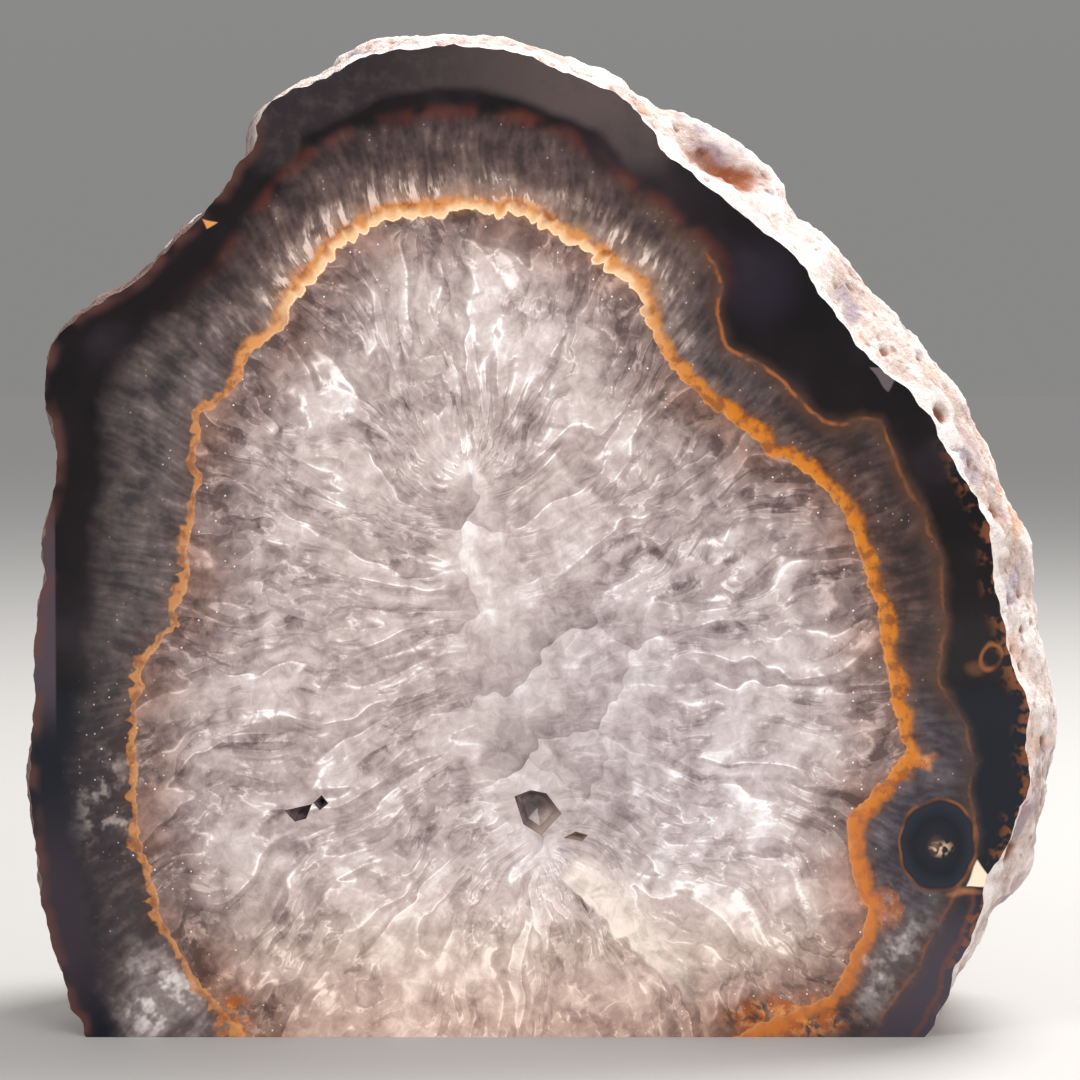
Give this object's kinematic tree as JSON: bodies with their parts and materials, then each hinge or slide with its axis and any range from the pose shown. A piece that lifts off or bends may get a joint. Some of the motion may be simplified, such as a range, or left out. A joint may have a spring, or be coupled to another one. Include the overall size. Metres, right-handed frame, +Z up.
{
  "type": "agate geode",
  "caption": "Cut agate geode end that stands on a sawn base: flat polished face of banded quartz, rough natural rind round the sides and back.",
  "frame": {"origin": "under the middle of the stone's bounding box, on the sawn base", "axes": "+Z up; the polished face looks along -Y; +X to the right as seen from in front of the face"},
  "size_m": [0.1656, 0.0828, 0.1575],
  "materials": {
    "agate": "milky quartz inside an orange seam and a near-black agate band, polished to a gloss on the front, sawn matt under the base, rough pinkish cream rind elsewhere"
  },
  "bodies": {
    "root": {"agate_geode": "agate"}
  },
  "joints": []
}
